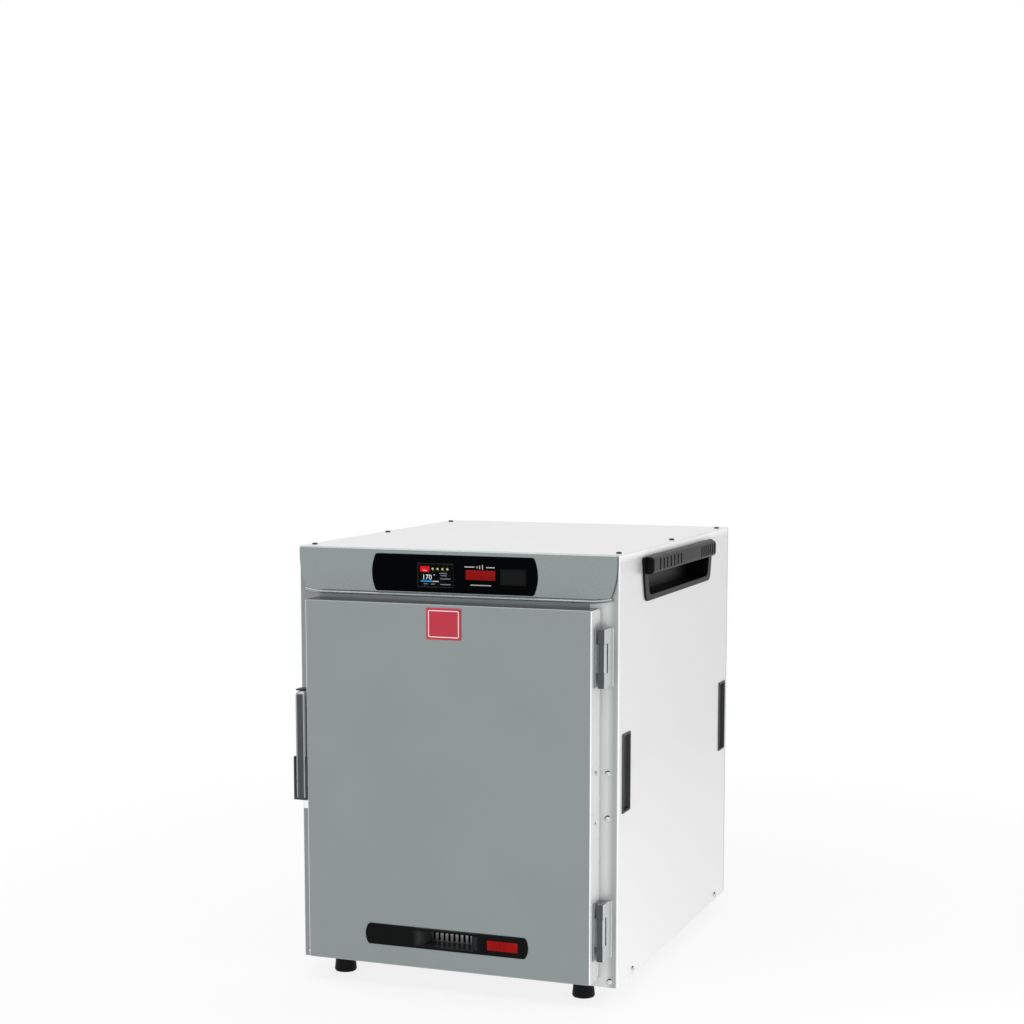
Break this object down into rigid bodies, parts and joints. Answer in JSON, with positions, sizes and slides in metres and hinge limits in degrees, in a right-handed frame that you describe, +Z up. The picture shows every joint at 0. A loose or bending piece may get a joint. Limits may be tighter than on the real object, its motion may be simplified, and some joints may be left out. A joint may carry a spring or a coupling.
{
  "type": "heated holding cabinet",
  "caption": "Countertop heated holding cabinet with a hinged insulated door, pull latch, pan slides, vents, and a control panel",
  "frame": {"origin": "centre of the footprint, at the underside of the feet", "axes": "+Z up, -Y out of the front where the door is, +X to the right as the user faces the door"},
  "size_m": [0.646, 0.7956, 0.7951],
  "materials": {
    "casing_metal": "satin sheet",
    "front_metal": "satin sheet",
    "liner_metal": "satin sheet",
    "hinge_metal": "satin cast",
    "bright_steel": "bright",
    "dark_screw": "satin",
    "black_plastic": "fine grain",
    "gloss_black": "gloss",
    "red_plastic": "satin",
    "badge_metal": "gloss",
    "display_glass": "clear",
    "circuit_board": "lacquered",
    "insulation": "loose fibre",
    "gasket_rubber": "matte",
    "foot_rubber": "matte",
    "magnet": "matte",
    "fan_metal": "cast",
    "lead_cover": "matte"
  },
  "bodies": {
    "frame": {"left_side_panel": "casing_metal", "right_side_panel": "casing_metal", "top_panel": "casing_metal", "back_panel": "casing_metal", "base_pan": "casing_metal", "lower_front_rail": "front_metal", "upper_front_rail": "front_metal", "header_fascia": "front_metal", "cavity_liner": "liner_metal", "wall_insulation": "insulation", "service_deck": "liner_metal", "left_side_handle": "black_plastic", "right_side_handle": "black_plastic", "side_recess_cups": "black_plastic", "rubber_feet": "foot_rubber", "foot_bolts": "bright_steel", "top_screws": "dark_screw", "casing_screws": "bright_steel", "control_panel": "gloss_black", "display_window": "display_glass", "display_module": "black_plastic", "control_board": "circuit_board", "switch_housing": "gloss_black", "humidity_vent_duct": "liner_metal", "upper_hinge_frame_leaf": "hinge_metal", "lower_hinge_frame_leaf": "hinge_metal", "hinge_pins": "bright_steel", "strike_plate": "bright_steel", "slide_uprights": "liner_metal", "slide_runners": "liner_metal", "air_plenum": "liner_metal", "rear_air_panel": "liner_metal", "fan_guard": "bright_steel", "fan_motor": "fan_metal", "heating_element": "bright_steel", "temperature_probe": "bright_steel", "power_inlet": "black_plastic", "wiring_harness": "lead_cover"},
    "door": {"door_outer_skin": "front_metal", "door_inner_liner": "liner_metal", "door_insulation": "insulation", "door_gasket": "gasket_rubber", "door_vent_bezel": "gloss_black", "door_edge_screws": "bright_steel", "badge_plate": "badge_metal", "upper_hinge_door_leaf": "hinge_metal", "lower_hinge_door_leaf": "hinge_metal", "latch_housing": "hinge_metal", "latch_pivot_pin": "bright_steel", "latch_magnet": "magnet"},
    "lever": {"latch_lever": "hinge_metal", "latch_lever_cap": "black_plastic", "latch_lever_spring": "bright_steel"},
    "door_vent": {"door_vent_knob": "red_plastic", "door_vent_shutter": "liner_metal"},
    "humidity_vent": {"humidity_vent_knob": "red_plastic", "humidity_vent_shutter": "liner_metal"},
    "rocker": {"power_rocker": "black_plastic"},
    "fan": {"fan_shaft": "bright_steel", "fan_impeller": "fan_metal"}
  },
  "joints": [
    {"name": "door_swing", "type": "hinge", "parent": "frame", "child": "door", "pos_m": [0.284, -0.3711, 0.373], "axis": [0, 0, 1], "range_deg": [0, 180]},
    {"name": "latch_lever_pull", "type": "hinge", "parent": "door", "child": "lever", "pos_m": [-0.2841, -0.3876, 0.373], "axis": [1, 0, 0], "range_deg": [0, 18], "stiffness_Nm_per_rad": 0.6, "springref_deg": -22.92},
    {"name": "door_vent_slide", "type": "slide", "parent": "door", "child": "door_vent", "axis": [1, 0, 0], "range_m": [-0.00485, 0]},
    {"name": "humidity_vent_slide", "type": "slide", "parent": "frame", "child": "humidity_vent", "axis": [1, 0, 0], "range_m": [-0.0097, 0]},
    {"name": "power_rocker_tilt", "type": "hinge", "parent": "frame", "child": "rocker", "pos_m": [0.11235, -0.3446, 0.7482], "axis": [0, 0, 1], "range_deg": [-12, 0]},
    {"name": "fan_spin", "type": "hinge", "parent": "frame", "child": "fan", "pos_m": [0, -0.0016, 0.64], "axis": [0, 0, 1], "continuous": true}
  ]
}
